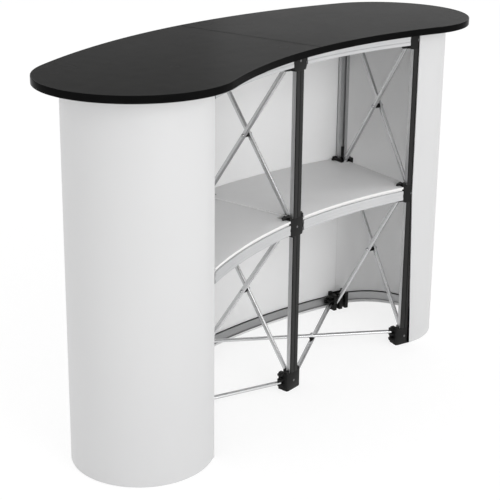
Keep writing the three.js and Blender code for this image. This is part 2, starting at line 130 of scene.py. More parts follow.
def seen_directly(tree):
    """1 for rays that show the background itself: camera, mirror and glass rays."""
    path = tree.nodes.new("ShaderNodeLightPath").outputs
    either = worked_out(tree, "MAXIMUM", path["Is Camera Ray"], path["Is Glossy Ray"])
    return worked_out(tree, "MAXIMUM", either, path["Is Transmission Ray"])


def light_world(horizon, zenith):
    """World that shows as plain white, and lights the object more from the sides than from above."""
    world = bpy.data.worlds.new("studio")
    world.use_nodes = True
    tree = world.node_tree
    tree.nodes.clear()
    shown = tree.nodes.new("ShaderNodeBackground")
    lighting = tree.nodes.new("ShaderNodeBackground")
    for background in (shown, lighting):
        background.inputs["Color"].default_value = (1, 1, 1, 1)
    split = tree.nodes.new("ShaderNodeSeparateXYZ")
    tree.links.new(tree.nodes.new("ShaderNodeTexCoord").outputs["Generated"], split.inputs["Vector"])
    level = ranged(tree, split.outputs["Z"], horizon, zenith)
    tree.links.new(level, lighting.inputs["Strength"])
    mix = tree.nodes.new("ShaderNodeMixShader")
    output = tree.nodes.new("ShaderNodeOutputWorld")
    tree.links.new(seen_directly(tree), mix.inputs["Fac"])
    tree.links.new(lighting.outputs[0], mix.inputs[1])
    tree.links.new(shown.outputs[0], mix.inputs[2])
    tree.links.new(mix.outputs[0], output.inputs["Surface"])
    bpy.context.scene.world = world


def floor_finish(shadow_share):
    """White floor whose shadow shows at a share of its full depth."""
    material = bpy.data.materials.new("floor_white")
    material.use_nodes = True
    tree = material.node_tree
    tree.nodes.clear()
    paint = tree.nodes.new("ShaderNodeBsdfPrincipled")
    paint.inputs["Base Color"].default_value = floor_white
    paint.inputs["Roughness"].default_value = floor_roughness
    paint.inputs["Specular IOR Level"].default_value = 0.0
    glow = tree.nodes.new("ShaderNodeEmission")
    glow.inputs["Strength"].default_value = floor_glow
    share = worked_out(tree, "MULTIPLY", seen_directly(tree), 1 - shadow_share)
    mix = tree.nodes.new("ShaderNodeMixShader")
    output = tree.nodes.new("ShaderNodeOutputMaterial")
    tree.links.new(share, mix.inputs["Fac"])
    tree.links.new(paint.outputs[0], mix.inputs[1])
    tree.links.new(glow.outputs[0], mix.inputs[2])
    tree.links.new(mix.outputs[0], output.inputs["Surface"])
    return material


light_world(horizon=1.42, zenith=0.55)
floor_mesh = bpy.data.meshes.new("floor")
floor_corners = floor_reach * np.array([(-1, -1, 0), (1, -1, 0), (1, 1, 0), (-1, 1, 0)])
floor_mesh.from_pydata(floor_corners.tolist(), [], [(0, 1, 2, 3)])
floor = bpy.data.objects.new("floor", floor_mesh)
floor_mesh.materials.append(floor_finish(shadow_share=0.28))
bpy.context.scene.collection.objects.link(floor)

# Hubs
# Eighteen black nylon mouldings carry the lattice: a block with cheeks and wings for the
# bars' pins, a socket for the post and tabs for the rails. The mould softens their edges.
rows = {"back": -1, "front": 1}
columns = {"left": -1, "centre": 0, "right": 1}
hub_levels = ("bottom", "middle", "top")
hub_edge_round = 0.0007
facet_merge = 0.00001
facet_angle = 0.5
bevel_segments = 2
bevel_angle = 30.0
nylon_black = (0.004, 0.004, 0.0042)
nylon_grey = (0.009, 0.009, 0.0087)
nylon_rubbed = (0.034, 0.034, 0.033)
dust_on_nylon = (0.25, 0.24, 0.23)


def shader_group(name, inputs, outputs):
    """Empty shader node group with named number or vector inputs and outputs."""
    group = bpy.data.node_groups.new(name, "ShaderNodeTree")
    for label, kind, default in inputs:
        socket = group.interface.new_socket(label, in_out="INPUT", socket_type=kind)
        if default is not None:
            socket.default_value = default
    for label, kind in outputs:
        group.interface.new_socket(label, in_out="OUTPUT", socket_type=kind)
    entry = group.nodes.new("NodeGroupInput")
    leave = group.nodes.new("NodeGroupOutput")
    return group, entry, leave


def moulded_grain_group():
    """Spark-eroded grain of a mould: fine noise for height, broad noise for shade."""
    group, entry, leave = shader_group(
        "moulded_grain",
        [("Vector", "NodeSocketVector", None), ("Grain Scale", "NodeSocketFloat", 900.0),
         ("Cloud Scale", "NodeSocketFloat", 14.0)],
        [("Shade", "NodeSocketFloat"), ("Height", "NodeSocketFloat")],
    )
    for scale, detail, result in (("Grain Scale", 2.0, "Height"), ("Cloud Scale", 3.0, "Shade")):
        noise = group.nodes.new("ShaderNodeTexNoise")
        noise.inputs["Detail"].default_value = detail
        group.links.new(entry.outputs["Vector"], noise.inputs["Vector"])
        group.links.new(entry.outputs[scale], noise.inputs["Scale"])
        group.links.new(noise.outputs["Fac"], leave.inputs[result])
    return group


def rubbed_edge_group():
    """Mask of the edges that handling rubs: where the surface is sharply convex."""
    group, entry, leave = shader_group(
        "rubbed_edges",
        [("Start", "NodeSocketFloat", 0.55), ("Full", "NodeSocketFloat", 0.75)],
        [("Mask", "NodeSocketFloat")],
    )
    geometry = group.nodes.new("ShaderNodeNewGeometry")
    spread = group.nodes.new("ShaderNodeMapRange")
    group.links.new(geometry.outputs["Pointiness"], spread.inputs["Value"])
    group.links.new(entry.outputs["Start"], spread.inputs["From Min"])
    group.links.new(entry.outputs["Full"], spread.inputs["From Max"])
    group.links.new(spread.outputs["Result"], leave.inputs["Mask"])
    return group


def settled_dust_group():
    """Mask of the dust that lies on faces that look up, in loose drifts."""
    group, entry, leave = shader_group(
        "settled_dust",
        [("Vector", "NodeSocketVector", None), ("Amount", "NodeSocketFloat", 0.3)],
        [("Mask", "NodeSocketFloat")],
    )
    geometry = group.nodes.new("ShaderNodeNewGeometry")
    split = group.nodes.new("ShaderNodeSeparateXYZ")
    drifts = group.nodes.new("ShaderNodeTexNoise")
    drifts.inputs["Scale"].default_value = 22.0
    drifts.inputs["Detail"].default_value = 6.0
    upward = group.nodes.new("ShaderNodeMapRange")
    upward.inputs["From Min"].default_value = 0.3
    group.links.new(geometry.outputs["Normal"], split.inputs["Vector"])
    group.links.new(split.outputs["Z"], upward.inputs["Value"])
    group.links.new(entry.outputs["Vector"], drifts.inputs["Vector"])
    lying = worked_out(group, "MULTIPLY", upward.outputs["Result"], drifts.outputs["Fac"])
    amount = worked_out(group, "MULTIPLY", lying, entry.outputs["Amount"])
    group.links.new(amount, leave.inputs["Mask"])
    return group


moulded_grain = moulded_grain_group()
rubbed_edges = rubbed_edge_group()
settled_dust = settled_dust_group()


def bare_material(name, roughness, metallic=0.0, specular=0.5):
    """Material with one Principled shader, and the node that gives object coordinates."""
    material = bpy.data.materials.new(name)
    material.use_nodes = True
    tree = material.node_tree
    shader = tree.nodes["Principled BSDF"]
    shader.inputs["Roughness"].default_value = roughness
    shader.inputs["Metallic"].default_value = metallic
    shader.inputs["Specular IOR Level"].default_value = specular
    place = tree.nodes.new("ShaderNodeTexCoord").outputs["Object"]
    return material, tree, shader, place


def placed_group(tree, group, vector=None, **values):
    """One use of a shader group, with its own values by socket name."""
    node = tree.nodes.new("ShaderNodeGroup")
    node.node_tree = group
    if vector is not None:
        tree.links.new(vector, node.inputs["Vector"])
    for label, value in values.items():
        node.inputs[label.replace("_", " ")].default_value = value
    return node


def blended_colour(tree, share, first, second):
    """Colour that goes from first to second as a share goes from 0 to 1. Either may be a socket."""
    mix = tree.nodes.new("ShaderNodeMix")
    mix.data_type = "RGBA"
    tree.links.new(share, mix.inputs["Factor"])
    for value, socket in ((first, mix.inputs["A"]), (second, mix.inputs["B"])):
        if isinstance(value, tuple):
            socket.default_value = (*value, 1.0)
        else:
            tree.links.new(value, socket)
    return mix.outputs["Result"]


def raised(tree, shader, height, distance, strength=1.0):
    """Bump from a height socket, in metres of relief."""
    bump = tree.nodes.new("ShaderNodeBump")
    bump.inputs["Distance"].default_value = distance
    bump.inputs["Strength"].default_value = strength
    tree.links.new(height, bump.inputs["Height"])
    tree.links.new(bump.outputs["Normal"], shader.inputs["Normal"])


def clouded_plastic(name, roughness, gloss_range, specular, grain, cloud, dark, pale, relief):
    """Plain plastic or rubber: fine grain, and a faint cloud in its colour and its gloss."""
    material, tree, shader, place = bare_material(name, roughness, specular=specular)
    clouds = placed_group(tree, moulded_grain, place, Grain_Scale=grain, Cloud_Scale=cloud)
    body = blended_colour(tree, clouds.outputs["Shade"], dark, pale)
    tree.links.new(body, shader.inputs["Base Color"])
    tree.links.new(ranged(tree, clouds.outputs["Shade"], *gloss_range), shader.inputs["Roughness"])
    raised(tree, shader, clouds.outputs["Height"], relief)
    return material


def upward_part(tree):
    """How far a flat face looks up: 1 for straight up, -1 for straight down."""
    geometry = tree.nodes.new("ShaderNodeNewGeometry")
    split = tree.nodes.new("ShaderNodeSeparateXYZ")
    tree.links.new(geometry.outputs["True Normal"], split.inputs["Vector"])
    return split.outputs["Z"]


def black_moulding():
    """Black nylon: even fine grain, paler where edges are rubbed, a trace of dust on top."""
    material, tree, shader, place = bare_material("black_moulding", 0.5, specular=0.12)
    grain = placed_group(tree, moulded_grain, place, Grain_Scale=1400.0, Cloud_Scale=30.0)
    wear = placed_group(tree, rubbed_edges, Start=0.52, Full=0.68)
    dust = placed_group(tree, settled_dust, place, Amount=0.10)
    body = blended_colour(tree, grain.outputs["Shade"], nylon_black, nylon_grey)
    worn = blended_colour(tree, wear.outputs["Mask"], body, nylon_rubbed)
    dusty = blended_colour(tree, dust.outputs["Mask"], worn, dust_on_nylon)
    tree.links.new(dusty, shader.inputs["Base Color"])
    tree.links.new(ranged(tree, grain.outputs["Shade"], 0.42, 0.6), shader.inputs["Roughness"])
    raised(tree, shader, grain.outputs["Height"], 0.00006)
    return material


def finished(piece, material, body, slot, *nodes):
    """Gives a piece its material and body, and hides the solids it stands for."""
    piece.data.materials.clear()
    piece.data.materials.append(material)
    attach(piece, body)
    if nodes:
        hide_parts(*nodes)


def smooth_object(name, mesh):
    """Object at the origin that shows a mesh with smooth shading."""
    mesh.polygons.foreach_set("use_smooth", np.ones(len(mesh.polygons), bool))
    piece = bpy.data.objects.new(name, mesh)
    bpy.context.scene.collection.objects.link(piece)
    return piece


def softened_copy(name, node, width):
    """The solid's own surface with its facets merged and each edge rounded by a bevel."""
    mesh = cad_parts[node].data.copy()
    mesh.name = name
    shape = bmesh.new()
    shape.from_mesh(mesh)
    bmesh.ops.remove_doubles(shape, verts=shape.verts, dist=facet_merge)
    bmesh.ops.dissolve_limit(
        shape, angle_limit=math.radians(facet_angle), verts=shape.verts, edges=shape.edges,
    )
    shape.to_mesh(mesh)
    shape.free()
    piece = smooth_object(name, mesh)
    bevel = piece.modifiers.new("edge", "BEVEL")
    bevel.width = width
    bevel.segments = bevel_segments
    bevel.limit_method = "ANGLE"
    bevel.angle_limit = math.radians(bevel_angle)
    bevel.harden_normals = True
    return piece


hub_material = black_moulding()
for row in rows:
    for column in columns:
        for level in hub_levels:
            node = f"hub_{row}_{column}_{level}"
            hub = softened_copy(f"moulded_{node}", node, hub_edge_round)
            finished(hub, hub_material, "frame", "hub_plastic", node)

# Bars
# Flat-oval struts of anodised aluminium, crossed in pairs and riveted in the middle
# through a black spacer, with their ends pinned in the hubs.
arc_radius = 1.522
worktop_half_width = 0.2345
wrap_half_width = 0.175
panel_thickness = 0.0024
panel_gap = 0.0006
column_angle = math.radians(19.4)
hub_height = 0.050
seat_gap = 0.0003
pin_inset = 0.0245
wing_pin_inset = 0.023
wing_pin_offset = 0.035
bar_width = 0.014
bar_thickness = 0.0095
bar_pitch = 0.022
level_bar_pitch = 0.015
level_bar_rise = 0.006
rivet_head_radius = 0.005
rivet_head_height = 0.005
spacer_radius = 0.007
spacer_rim = 0.0008
bar_edge_round = 0.0055
bar_round_steps = 12
bar_edge_steps = 8
dome_steps = 8
rim_steps = 4
turn_steps = 32
point_merge = 0.00002
slanting = (0.3, 0.5, 0.81)
changes_per_metre = 3.0
film_shares = (0.94, 0.95, 0.97)
gloss_below = 0.08
gloss_above = 0.1

centre_y = cad_high[1] - arc_radius - worktop_half_width
face_offset = wrap_half_width - panel_thickness - panel_gap
bottom_level = hub_height / 2
top_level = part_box("hub_back_centre_top")[0][2] + hub_height / 2
middle_level = (bottom_level + top_level) / 2
levels = dict(zip(hub_levels, (bottom_level, middle_level, top_level)))


def column_point(row, column, inset, along, height):
    """Point behind a column's face: the radius is the arc's plus or minus what is left of the
    half width, and along moves it square to that radius."""
    bearing = columns[column] * column_angle
    radius = arc_radius + rows[row] * (face_offset - inset)
    return np.array([
        radius * math.sin(bearing) + along * math.cos(bearing),
        centre_y + radius * math.cos(bearing) - along * math.sin(bearing),
        height,
    ])


def unit(vectors):
    """Each vector divided by its length."""
    return vectors / np.linalg.norm(vectors, axis=-1, keepdims=True)


def outward_of(row, column):
    """Direction in which a column's face looks, away from the counter's middle line."""
    return unit(column_point(row, column, -1.0, 0.0, 0.0) - column_point(row, column, 0.0, 0.0, 0.0))


def carried(path, out, up, profile):
    """Profile carried along a path. A point is the path's point, plus the profile's first number
    times out, plus its second times up. The lay is the same point with the path straightened:
    distance run, first number, second number."""
    points = path[:, None] + profile[None, :, :1] * out[:, None] + profile[None, :, 1:] * up[:, None]
    run = np.concatenate([[0.0], np.cumsum(np.linalg.norm(np.diff(path, axis=0), axis=1))])
    lay = np.concatenate([
        np.broadcast_to(run[:, None, None], (len(path), len(profile), 1)),
        np.broadcast_to(profile[None], (len(path), len(profile), 2)),
    ], axis=2)
    return points, lay


def grid_piece(name, points, lay, closed=True, capped=True, smooth_angle=40.0):
    """Mesh of a grid of points, a quad between each four neighbours. A closed grid joins its last
    column to its first, and a capped one has a face over its first and last rows."""
    count, width = points.shape[:2]
    index = np.arange(count * width).reshape(count, width)
    near = index if closed else index[:, :-1]
    far = np.roll(index, -1, axis=1) if closed else index[:, 1:]
    quads = np.stack([near[:-1], far[:-1], far[1:], near[1:]], axis=-1).reshape(-1, 4).tolist()
    caps = [index[0].tolist(), index[-1, ::-1].tolist()] if capped else []
    mesh = bpy.data.meshes.new(name)
    mesh.from_pydata(points.reshape(-1, 3), [], quads + caps)
    stored = mesh.attributes.new("lay", "FLOAT_VECTOR", "POINT")
    stored.data.foreach_set("vector", lay.reshape(-1).astype(np.float32))
    shape = bmesh.new()
    shape.from_mesh(mesh)
    bmesh.ops.remove_doubles(shape, verts=shape.verts, dist=point_merge)
    bmesh.ops.recalc_face_normals(shape, faces=shape.faces)
    shape.to_mesh(mesh)
    shape.free()
    piece = smooth_object(name, mesh)
    mesh.set_sharp_from_angle(angle=math.radians(smooth_angle))
    return piece


def turned_piece(name, profile, place, axis):
    """Profile of radius and height turned round an axis: a point is the place, plus its height
    times the axis, plus its radius times a direction that goes once round the axis."""
    axis = unit(np.asarray(axis, float))
    side = unit(np.cross(axis, slanting))
    other = np.cross(axis, side)
    turn = np.linspace(0, 2 * math.pi, turn_steps, endpoint=False)[:, None]
    around = np.cos(turn) * side + np.sin(turn) * other
    points = place + profile[:, None, 1:] * axis + profile[:, None, :1] * around[None]
    lay = np.zeros(points.shape)
    lay[..., :2] = profile[:, None]
    return grid_piece(name, points, lay, capped=False)


def quarter(centre, radius_out, radius_up, start, end, steps):
    """Arc of an ellipse in the profile's plane, angles in quarter turns from its first axis."""
    angle = np.linspace(start, end, steps + 1) * math.pi / 2
    return np.stack([
        centre[0] + radius_out * np.cos(angle), centre[1] + radius_up * np.sin(angle),
    ], axis=1)


def oval_bar(name, start, end, normal):
    """Bar with round ends. Its outline, two straights and two half circles, is carried with a
    profile that runs from the middle line over a rounded edge and back to the middle line."""
    along = unit(end - start)
    across = np.cross(normal, along)
    reach = bar_width / 2
    half = bar_thickness / 2
    turn = np.linspace(0, math.pi, bar_round_steps + 1)[:, None]
    start_out = np.cos(turn) * across - np.sin(turn) * along
    end_out = -np.cos(turn) * across + np.sin(turn) * along
    out = np.concatenate([start_out, end_out])
    middle = np.concatenate([np.repeat(start[None], len(turn), 0), np.repeat(end[None], len(turn), 0)])
    flat = reach - bar_edge_round
    upper = quarter((flat, 0.0), bar_edge_round, half, 1, 0, bar_edge_steps)
    lower = quarter((flat, 0.0), bar_edge_round, half, 0, -1, bar_edge_steps)[1:]
    profile = np.concatenate([[(0.0, half)], upper, lower, [(0.0, -half)]])
    out = np.concatenate([out, out[:1]])
    middle = np.concatenate([middle, middle[:1]])
    up = np.repeat(np.asarray(normal, float)[None], len(out), 0)
    points, _ = carried(middle, out, up, profile)
    offset = points - start
    lay = np.stack([offset @ along, offset @ across, offset @ normal], axis=-1)
    return grid_piece(name, points, lay, closed=False, capped=False)


def drawn_lines_group():
    """Die lines of an extrusion: noise drawn out along the lay, thin across it."""
    group, entry, leave = shader_group(
        "drawn_lines",
        [("Vector", "NodeSocketVector", None), ("Lines Per Metre", "NodeSocketFloat", 1400.0)],
        [("Shade", "NodeSocketFloat"), ("Height", "NodeSocketFloat")],
    )
    split = group.nodes.new("ShaderNodeSeparateXYZ")
    stretch = group.nodes.new("ShaderNodeCombineXYZ")
    group.links.new(entry.outputs["Vector"], split.inputs["Vector"])
    along = worked_out(group, "MULTIPLY", split.outputs["X"], changes_per_metre)
    group.links.new(along, stretch.inputs["X"])
    for axis in ("Y", "Z"):
        across = worked_out(group, "MULTIPLY", split.outputs[axis], entry.outputs["Lines Per Metre"])
        group.links.new(across, stretch.inputs[axis])
    lines = group.nodes.new("ShaderNodeTexNoise")
    lines.inputs["Scale"].default_value = 1.0
    lines.inputs["Detail"].default_value = 3.0
    group.links.new(stretch.outputs[0], lines.inputs["Vector"])
    group.links.new(lines.outputs["Fac"], leave.inputs["Shade"])
    group.links.new(lines.outputs["Fac"], leave.inputs["Height"])
    return group


drawn_lines = drawn_lines_group()


def lay_of(tree):
    """The piece's own straightened coordinates, stored on its mesh."""
    attribute = tree.nodes.new("ShaderNodeAttribute")
    attribute.attribute_name = "lay"
    return attribute.outputs["Vector"]


def anodised(name, dark, pale, roughness):
    """Anodised aluminium: metal with die lines along it and a slightly uneven, cooler film."""
    material, tree, shader, place = bare_material(name, roughness, metallic=1.0)
    lines = placed_group(tree, drawn_lines, lay_of(tree), Lines_Per_Metre=1500.0)
    film = placed_group(tree, moulded_grain, place, Grain_Scale=500.0, Cloud_Scale=9.0)
    drawn = blended_colour(tree, lines.outputs["Shade"], (dark,) * 3, (pale,) * 3)
    filmed = tuple(dark * share for share in film_shares)
    clouded = blended_colour(tree, film.outputs["Shade"], drawn, filmed)
    tree.links.new(clouded, shader.inputs["Base Color"])
    gloss = ranged(tree, lines.outputs["Shade"], roughness - gloss_below, roughness + gloss_above)
    tree.links.new(gloss, shader.inputs["Roughness"])
    raised(tree, shader, lines.outputs["Height"], 0.00003, 0.6)
    return material


bar_material = anodised("bar_anodised", dark=0.56, pale=0.80, roughness=0.24)
rivet_material = anodised("rivet_steel", dark=0.50, pale=0.72, roughness=0.24)


def rivet_head(name, place, axis, radius, height):
    """Low dome: flat skirt, then a quarter ellipse up to the pole."""
    dome = quarter((0.0, 0.0), radius, height, 0, 1, dome_steps)
    profile = np.concatenate([[(0.0, -height), (radius, -height)], dome])
    return turned_piece(name, profile, place, axis)


def spacer_ring(name, place, axis, length):
    """Short round spacer with softened rims."""
    rim = spacer_rim
    profile = np.concatenate([
        [(0.0, 0.0), (spacer_radius - rim, 0.0)],
        quarter((spacer_radius - rim, rim), rim, rim, -1, 0, rim_steps),
        quarter((spacer_radius - rim, length - rim), rim, rim, 0, 1, rim_steps),
        [(0.0, length)],
    ])
    return turned_piece(name, profile, place, axis)


def crossed_pair(name, first, second, normal, pitch, share):
    """Two bars, a pitch apart, that cross at a share of the first one's length, and their rivet."""
    normal = np.asarray(normal, float)
    carrier = oval_bar(f"strut_{name}_a", *first, normal)
    partner = oval_bar(f"strut_{name}_b", *second, normal)
    finished(carrier, bar_material, "frame", "bar_metal", f"{name}_a")
    finished(partner, bar_material, "frame", "bar_metal", f"{name}_b")
    crossing = first[0] + (first[1] - first[0]) * share
    face = bar_thickness / 2
    spacer = spacer_ring(f"spacer_{name}", crossing + normal * face, normal, pitch - bar_thickness)
    finished(spacer, hub_material, "frame", "hub_plastic")
    for side, end in ((-1, crossing - normal * face), (1, crossing + normal * (pitch + face))):
        head = rivet_head(
            f"rivet_{name}_{'near' if side < 0 else 'far'}", end, side * normal,
            rivet_head_radius, rivet_head_height,
        )
        finished(head, rivet_material, "frame", "bar_metal")


def plan_cross(first, second):
    """Cross product of two directions in plan."""
    return first[0] * second[1] - first[1] * second[0]


def crossing_share(line, other):
    """Share of a line at which another crosses it in plan."""
    run = line[1] - line[0]
    other_run = other[1] - other[0]
    return plan_cross(other[0] - line[0], other_run) / plan_cross(run, other_run)


for column, side in columns.items():
    tangent = (math.cos(side * column_angle), -math.sin(side * column_angle), 0.0)
    for part, low, high in (("lower", "bottom", "middle"), ("upper", "middle", "top")):
        crossed_pair(
            f"upright_bar_{column}_{part}",
            (column_point("back", column, pin_inset, -bar_pitch / 2, levels[high]),
             column_point("front", column, pin_inset, -bar_pitch / 2, levels[low])),
            (column_point("back", column, pin_inset, bar_pitch / 2, levels[low]),
             column_point("front", column, pin_inset, bar_pitch / 2, levels[high])),
            tangent, bar_pitch, 0.5,
        )
for column in ("left", "right"):
    out = columns[column] * wing_pin_offset
    for level, rise in (("bottom", level_bar_rise), ("top", -level_bar_rise)):
        low = levels[level] + rise - level_bar_pitch / 2
        high = low + level_bar_pitch
        from_back = (column_point("back", "centre", wing_pin_inset, out, low),
                     column_point("front", column, wing_pin_inset, -out, low))
        from_front = (column_point("front", "centre", wing_pin_inset, out, high),
                      column_point("back", column, wing_pin_inset, -out, high))
        crossed_pair(
            f"level_bar_{column}_{level}", from_back, from_front, (0.0, 0.0, 1.0),
            level_bar_pitch, crossing_share(from_back, from_front),
        )

# Rivets in the hubs' faces
# One low rivet head of blackened steel sits in the middle of each hub's outer face, with
# its shank in the moulding.
hub_rivet_radius = 0.0032
hub_rivet_height = 0.0005
hub_rivet_material = anodised("rivet_blackened", dark=0.17, pale=0.27, roughness=0.4)
for row in rows:
    for column in columns:
        for level in hub_levels:
            head = rivet_head(
                f"hub_rivet_{row}_{column}_{level}", column_point(row, column, 0.0, 0.0, levels[level]),
                outward_of(row, column), hub_rivet_radius, hub_rivet_height,
            )
            finished(head, hub_rivet_material, "frame", "bar_metal")

# Posts
# A lipped aluminium channel stands in the hubs of each column, in the front row above the shelf
# only. Two black magnet strips on its face hold the panels' edges, with a narrow groove between
# them, and a black tongue of the hub fills the channel's mouth at each end.
post_width = 0.032
post_depth = 0.014
strip_width = 0.014
strip_groove = 0.002
strip_thickness = 0.003
channel_width = 0.020
channel_depth = 0.006
channel_mouth = 0.012
channel_lip = 0.0018
post_past_level = 0.005
post_edge_round = 0.0006
strip_edge_round = 0.0005
tongue_width = 0.011
tongue_clearance = 0.0004
tongue_height = 0.034


def rounded(corners, radius, steps=4):
    """Closed profile with each corner turned by an arc. The arc's ends lie on the two sides, at
    the radius over the tangent of half the corner's angle, and its points go evenly between."""
    corners = np.asarray(corners, float)
    before = unit(np.roll(corners, 1, axis=0) - corners)
    after = unit(np.roll(corners, -1, axis=0) - corners)
    half = np.arccos(np.clip((before * after).sum(axis=1), -1, 1)) / 2
    centre = corners + unit(before + after) * (radius / np.sin(half))[:, None]
    first = corners + before * (radius / np.tan(half))[:, None] - centre
    last = corners + after * (radius / np.tan(half))[:, None] - centre
    sweep = (math.pi - 2 * half)[:, None, None]
    share = np.linspace(0, 1, steps + 1)[None, :, None]
    arcs = (
        np.sin((1 - share) * sweep) * first[:, None] + np.sin(share * sweep) * last[:, None]
    ) / np.sin(sweep)
    return (centre[:, None] + arcs).reshape(-1, 2)


def upright(name, row, column, profile, low, high):
    """Profile of place along the column's face and depth behind it, carried straight up."""
    bearing = columns[column] * column_angle
    tangent = np.array([math.cos(bearing), -math.sin(bearing), 0.0])
    outward = outward_of(row, column)
    foot = column_point(row, column, 0.0, 0.0, low)
    path = np.stack([foot, foot + (0, 0, high - low)])
    points, lay = carried(path, np.stack([tangent] * 2), np.stack([outward] * 2), profile)
    return grid_piece(name, points, lay)


post_half = post_width / 2
channel_corners = [
    (-post_half, -strip_thickness), (-post_half, -post_depth), (-channel_mouth / 2, -post_depth),
    (-channel_mouth / 2, channel_lip - post_depth), (-channel_width / 2, channel_lip - post_depth),
    (-channel_width / 2, channel_depth - post_depth), (channel_width / 2, channel_depth - post_depth),
    (channel_width / 2, channel_lip - post_depth), (channel_mouth / 2, channel_lip - post_depth),
    (channel_mouth / 2, -post_depth), (post_half, -post_depth), (post_half, -strip_thickness),
]
post_material = anodised("post_anodised", dark=0.50, pale=0.70, roughness=0.36)
strip_material = clouded_plastic(
    "magnet_rubber", roughness=0.6, gloss_range=(0.42, 0.66), specular=0.2, grain=2200.0, cloud=55.0,
    dark=(0.008, 0.008, 0.008), pale=(0.024, 0.024, 0.023), relief=0.00005,
)
post_high = top_level + post_past_level - seat_gap
strip_spans = {
    "lower": (hub_height + seat_gap, middle_level - hub_height / 2 - seat_gap),
    "upper": (middle_level + hub_height / 2 + seat_gap, top_level - hub_height / 2 - seat_gap),
}
strip_halves = {"back": ("lower", "upper"), "front": ("upper",)}
tongue_near = channel_depth - post_depth - tongue_clearance
tongue_far = tongue_clearance - post_depth
tongue_corners = [
    (-tongue_width / 2, tongue_near), (-tongue_width / 2, tongue_far),
    (tongue_width / 2, tongue_far), (tongue_width / 2, tongue_near),
]
for row in rows:
    foot = middle_level if row == "front" else bottom_level
    post_low = foot - post_past_level + seat_gap
    for column in columns:
        channel = upright(
            f"channel_{row}_{column}", row, column,
            rounded(channel_corners, post_edge_round), post_low, post_high,
        )
        finished(channel, post_material, "frame", "post_metal", f"post_{row}_{column}")
        for half in strip_halves[row]:
            low, high = strip_spans[half]
            for hand, near in (("a", -strip_groove / 2 - strip_width), ("b", strip_groove / 2)):
                far = near + strip_width
                corners = [(near, 0.0), (near, -strip_thickness), (far, -strip_thickness), (far, 0.0)]
                strip = upright(
                    f"magnet_{row}_{column}_{half}_{hand}", row, column,
                    rounded(corners, strip_edge_round), low, high,
                )
                finished(strip, strip_material, "frame", "post_metal")
        for end, low in (
            ("foot", foot + hub_height / 2 + seat_gap),
            ("head", top_level - hub_height / 2 - seat_gap - tongue_height),
        ):
            tongue = upright(
                f"tongue_{row}_{column}_{end}", row, column,
                rounded(tongue_corners, strip_edge_round), low, low + tongue_height,
            )
            finished(tongue, hub_material, "frame", "hub_plastic")

# Rails
# Anodised lipped extrusions, rolled to the counter's curve and pushed over the hubs'
# tabs, stiffen the frame at the floor, under the shelf and under the worktop. Those at
# the floor get a darker copy of the anodised finish as painted shade, and a black bead along the top.
rail_height = 0.027
rail_depth = 0.006
rail_web = 0.0018
rail_lip = 0.002
rail_end_gap = 0.0005
rail_rib = 0.0009
rail_rib_share = 1 / 6
rail_edge_round = 0.00045
rail_round_steps = 3
bead_radius = 0.0011
bead_seat_share = 0.8
bead_steps = 10
hub_width = 0.058
shelf_rise = 0.010
wrap_half_angle = math.radians(19.9)
arc_step = math.radians(0.5)
end_step = math.radians(3.0)


def bearings(start, end, step):
    """Plan directions that turn from one bearing to another in steps."""
    count = int(abs(end - start) / step) + 2
    bearing = np.linspace(start, end, count)
    return np.stack([np.sin(bearing), np.cos(bearing), np.zeros(count)], axis=1)


def bent_run(radius, start, end, outward):
    """Plan path on the counter's own arc, at a radius, from one bearing to another."""
    out = bearings(start, end, arc_step)
    return out * radius + (0.0, centre_y, 0.0), out * outward


def end_run(side, half_angle, radius, start, end):
    """Plan path round one end: a circle about the last point of the counter's middle line."""
    out = bearings(start, end, end_step)
    middle = np.array([
        side * arc_radius * math.sin(half_angle), centre_y + arc_radius * math.cos(half_angle), 0.0,
    ])
    return middle + out * radius, out


def plan_piece(name, runs, profile, moved=None, **options):
    """Profile of outward offset and height, carried along joined plan paths, and then moved."""
    path = np.concatenate([run[0] for run in runs])
    out = np.concatenate([run[1] for run in runs])
    up = np.repeat([[0.0, 0.0, 1.0]], len(path), 0)
    points, lay = carried(path, out, up, profile)
    return grid_piece(name, points if moved is None else moved(points), lay, **options)


def rail_profile(height):
    """Lipped channel, open to the inside, with a raised rib along the middle of its face."""
    top, low = height + rail_height / 2, height - rail_height / 2
    rib = rail_height * rail_rib_share
    return rounded([
        (0.0, low), (0.0, height - rib), (-rail_rib, height - rib + rail_rib),
        (-rail_rib, height + rib - rail_rib), (0.0, height + rib), (0.0, top),
        (-rail_depth, top), (-rail_depth, top - rail_lip), (-rail_web - rail_rib, top - rail_lip),
        (-rail_web - rail_rib, low + rail_lip), (-rail_depth, low + rail_lip), (-rail_depth, low),
    ], rail_edge_round, rail_round_steps)


def row_rail(row, start_column, end_column):
    """Path of a rail between two columns of one row, short of each hub by half its width."""
    face = arc_radius + rows[row] * face_offset
    short = math.asin((hub_width / 2 + rail_end_gap) / (face - rail_depth))
    start = columns[start_column] * column_angle + short
    end = columns[end_column] * column_angle - short
    return [bent_run(face, start, end, rows[row])]


def end_rail(side):
    """Path of a rail round one end, from the front hub to the back one."""
    reach = hub_width / 2 + rail_end_gap
    lead = {row: (arc_radius + sign * face_offset) * math.sin(wrap_half_angle - column_angle)
            for row, sign in rows.items()}
    start = wrap_half_angle + math.asin((reach - lead["front"]) / (face_offset - rail_depth))
    end = wrap_half_angle + math.pi - math.asin((reach - lead["back"]) / (face_offset - rail_depth))
    return [end_run(side, wrap_half_angle, face_offset, side * start, side * end)]


def bead_profile(height):
    """Round bead that lies on top of a rail, flush with its face and a little sunk."""
    turn = np.linspace(0, 2 * math.pi, bead_steps, endpoint=False)
    rise = bead_radius * (np.sin(turn) + bead_seat_share)
    return np.stack([bead_radius * (np.cos(turn) - 1), height + rail_height / 2 + rise], axis=1)


